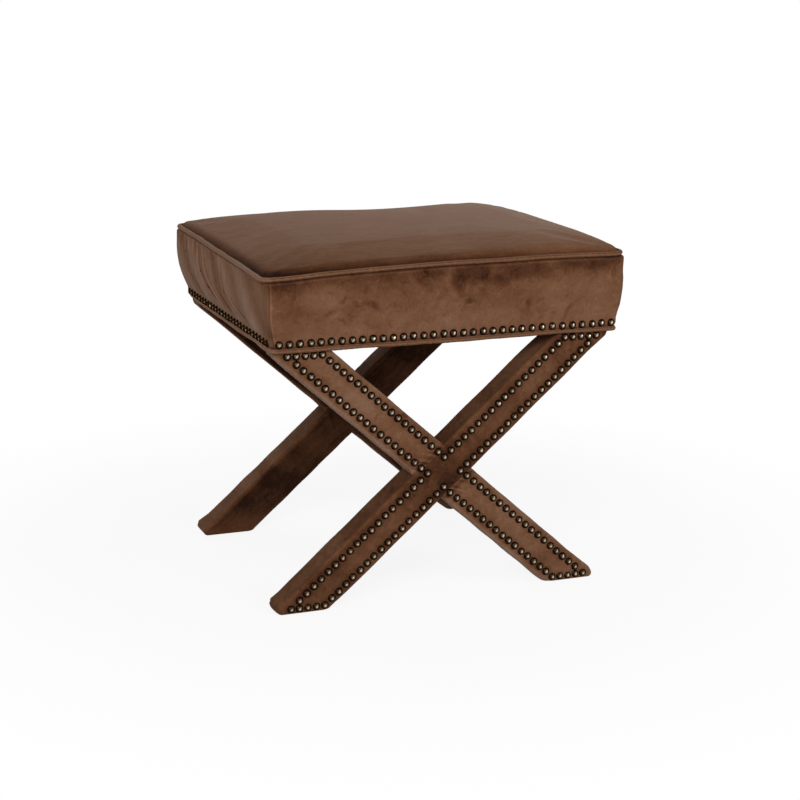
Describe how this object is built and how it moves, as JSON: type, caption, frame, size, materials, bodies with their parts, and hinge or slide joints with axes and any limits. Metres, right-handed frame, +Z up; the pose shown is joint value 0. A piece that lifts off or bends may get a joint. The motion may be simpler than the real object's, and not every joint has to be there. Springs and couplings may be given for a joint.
{
  "type": "upholstered stool",
  "caption": "Upholstered velvet stool with a crowned, boxed and welted seat on two X-shaped leg frames edged with domed nails.",
  "frame": {"origin": "on the floor, under the middle of the whole stool's bounding box", "axes": "+Z up, +X to the right along the seat's width when seen from the front, +Y from the front to the back; the front faces -Y"},
  "size_m": [0.5204, 0.4218, 0.4882],
  "materials": {
    "velvet": "warm brown cotton velvet with a short brushed pile",
    "antique_brass": "antiqued domed nails, dark at the rim and rubbed bright on top",
    "timber": "planed hardwood, unfinished",
    "plywood": "sanded plywood",
    "zinc_steel": "bright zinc plate",
    "foam": "cut polyurethane foam",
    "batting": "polyester batting",
    "lining": "black non-woven dust cloth"
  },
  "bodies": {
    "root": {"front_rail": "timber", "back_rail": "timber", "left_rail": "timber", "right_rail": "timber", "rail_dowels": "timber", "corner_blocks": "timber", "corner_block_screws": "zinc_steel", "seat_deck": "plywood", "deck_screws": "zinc_steel", "seat_foam": "foam", "seat_batting": "batting", "seat_top_panel": "velvet", "seat_boxing": "velvet", "top_welt": "velvet", "bottom_welt": "velvet", "dust_cover": "lining", "dust_cover_staples": "zinc_steel", "front_leg_a": "timber", "front_leg_b": "timber", "rear_leg_a": "timber", "rear_leg_b": "timber", "lap_dowels": "timber", "leg_coach_screws": "zinc_steel", "leg_washers": "zinc_steel", "leg_dowels": "timber", "front_leg_a_wadding": "batting", "front_leg_b_wadding": "batting", "rear_leg_a_wadding": "batting", "rear_leg_b_wadding": "batting", "front_leg_a_upper_cover": "velvet", "front_leg_a_lower_cover": "velvet", "front_leg_b_cover": "velvet", "rear_leg_a_upper_cover": "velvet", "rear_leg_a_lower_cover": "velvet", "rear_leg_b_cover": "velvet", "front_leg_nails": "antique_brass", "rear_leg_nails": "antique_brass", "seat_front_nails": "antique_brass", "seat_back_nails": "antique_brass", "seat_left_nails": "antique_brass", "seat_right_nails": "antique_brass"}
  },
  "joints": []
}
